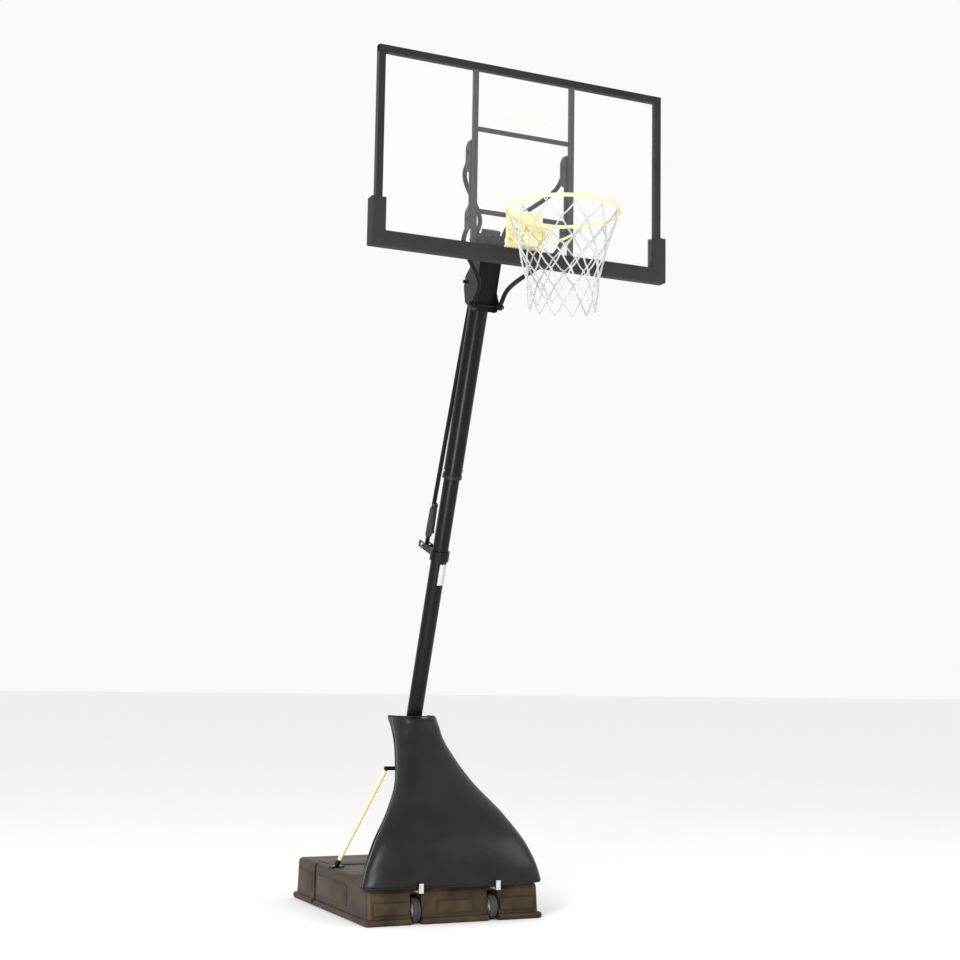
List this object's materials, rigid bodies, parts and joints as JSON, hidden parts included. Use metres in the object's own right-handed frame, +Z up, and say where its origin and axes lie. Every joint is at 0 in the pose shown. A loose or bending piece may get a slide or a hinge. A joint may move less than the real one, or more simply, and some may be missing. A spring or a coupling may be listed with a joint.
{
  "type": "portable basketball hoop",
  "caption": "Free-standing basketball hoop: water-filled wheeled base, leaning steel pole, clear backboard on lifting arms with a lever handle, and a sprung rim with net.",
  "frame": {"origin": "centre of the base tank's footprint, on the floor", "axes": "+Z up; -Y towards the court, so the board faces -Y; +X to the right seen from the court"},
  "size_m": [1.444, 2.2176, 3.786],
  "materials": {
    "tank_plastic": "blow-moulded polyethylene, satin, dark brown-black",
    "water": "water inside the tank, stated as a solid",
    "black_plastic": "injection-moulded black plastic",
    "wheel_rubber": "black rubber",
    "hub_plastic": "light grey moulded nylon",
    "black_steel": "black powder coat, semi-gloss",
    "zinc_steel": "bright zinc plate",
    "yellow_steel": "pale yellow paint",
    "cover_vinyl": "black vinyl over thin foam, semi-gloss",
    "scale_plastic": "light grey label stock, no lettering",
    "clear_acrylic": "clear acrylic sheet",
    "frame_steel": "black powder coat, satin",
    "pad_foam": "charcoal closed-cell foam pad",
    "rim_steel": "pale yellow powder coat",
    "net_cord": "white braided nylon"
  },
  "bodies": {
    "base": {"base_tank": "tank_plastic", "ballast_fill": "water", "wheel_axle_left": "zinc_steel", "wheel_axle_right": "zinc_steel", "pole_foot_bracket": "black_steel", "foot_bolt": "zinc_steel", "pole_lower": "black_steel", "pole_middle": "black_steel", "pole_upper": "black_steel", "pole_reducer": "black_plastic", "pole_joint_bolt": "zinc_steel", "pole_cap": "black_plastic", "height_scale": "scale_plastic", "strut_clamp": "black_steel", "strut_left": "yellow_steel", "strut_right": "yellow_steel", "strut_foot_left": "black_steel", "strut_foot_right": "black_steel", "front_cover": "cover_vinyl", "cover_clip_left": "zinc_steel", "cover_clip_right": "zinc_steel", "head_bracket": "black_steel", "head_clamp_bolt": "black_steel", "upper_pivot_bolt": "black_steel", "lower_pivot_bolt": "black_steel"},
    "fill_cap": {"fill_cap": "black_plastic"},
    "wheel_left": {"wheel_tyre_left": "wheel_rubber", "wheel_hub_left": "hub_plastic"},
    "wheel_right": {"wheel_tyre_right": "wheel_rubber", "wheel_hub_right": "hub_plastic"},
    "upper_arms": {"upper_arm_left": "black_steel", "upper_arm_right": "black_steel", "tail_pin": "zinc_steel"},
    "lower_arms": {"lower_arm_left": "black_steel", "lower_arm_right": "black_steel"},
    "lift_rod": {"lift_rod": "black_steel", "handle_grip": "wheel_rubber", "trigger_pin": "zinc_steel"},
    "trigger": {"trigger": "black_plastic"},
    "lock_collar": {"lock_collar": "black_steel"},
    "lock_pin": {"lock_pin": "zinc_steel"},
    "backboard": {"frame_top": "frame_steel", "frame_bottom": "frame_steel", "frame_left": "frame_steel", "frame_right": "frame_steel", "backboard_panel": "clear_acrylic", "target_frame": "frame_steel", "board_rail_left": "black_steel", "board_rail_right": "black_steel", "board_bolt_upper_left": "black_steel", "board_bolt_upper_right": "black_steel", "board_bolt_lower_left": "black_steel", "board_bolt_lower_right": "black_steel", "board_pad": "pad_foam", "rim_backplate": "rim_steel", "rim_hinge_pin": "zinc_steel", "rim_spring_left": "zinc_steel", "rim_spring_right": "zinc_steel"},
    "rim": {"rim_ring": "rim_steel", "net": "net_cord"}
  },
  "joints": [
    {"name": "fill_cap_turn", "type": "hinge", "parent": "base", "child": "fill_cap", "pos_m": [0.22, 0.36, 0.2], "axis": [0, 0, 1], "continuous": true},
    {"name": "wheel_left_spin", "type": "hinge", "parent": "base", "child": "wheel_left", "pos_m": [-0.19, -0.455, 0.06], "axis": [1, 0, 0], "continuous": true},
    {"name": "wheel_right_spin", "type": "hinge", "parent": "base", "child": "wheel_right", "pos_m": [0.19, -0.455, 0.06], "axis": [1, 0, 0], "continuous": true},
    {"name": "board_lift", "type": "hinge", "parent": "base", "child": "upper_arms", "pos_m": [0, -0.72, 3.1], "axis": [1, 0, 0], "range_deg": [0, 88]},
    {"name": "lower_arm_swing", "type": "hinge", "parent": "base", "child": "lower_arms", "pos_m": [0, -0.72, 2.8], "axis": [1, 0, 0], "range_deg": [0, 88]},
    {"name": "board_level", "type": "hinge", "parent": "upper_arms", "child": "backboard", "pos_m": [0, -1.045, 3.39], "axis": [1, 0, 0], "range_deg": [-88, 0]},
    {"name": "rod_level", "type": "hinge", "parent": "upper_arms", "child": "lift_rod", "pos_m": [0, -0.62892, 3.05871], "axis": [1, 0, 0], "range_deg": [-88, 0]},
    {"name": "collar_slide", "type": "slide", "parent": "base", "child": "lock_collar", "axis": [0, -0.3356, 0.942], "range_m": [0, 0.139]},
    {"name": "trigger_squeeze", "type": "hinge", "parent": "lift_rod", "child": "trigger", "pos_m": [0, -0.18039, 1.92234], "axis": [1, 0, 0], "range_deg": [0, 6], "stiffness_Nm_per_rad": 1.5, "springref_deg": -11.46},
    {"name": "lock_pin_pull", "type": "slide", "parent": "lock_collar", "child": "lock_pin", "axis": [0, 0.942, 0.3356], "range_m": [0, 0.0101]},
    {"name": "rim_break", "type": "hinge", "parent": "backboard", "child": "rim", "pos_m": [0, -1.13, 3.036], "axis": [1, 0, 0], "range_deg": [0, 20], "stiffness_Nm_per_rad": 200, "springref_deg": -17.19, "deforming": ["rim_spring_left", "rim_spring_right"]}
  ],
  "couplings": [
    {"joint": "lower_arm_swing", "follows": "board_lift", "ratio": 1},
    {"joint": "board_level", "follows": "board_lift", "ratio": -1},
    {"joint": "rod_level", "follows": "board_lift", "ratio": -1},
    {"joint": "collar_slide", "follows": "board_lift", "m_per_rad": 0.090457},
    {"joint": "lock_pin_pull", "follows": "trigger_squeeze", "m_per_rad": 0.09549}
  ]
}
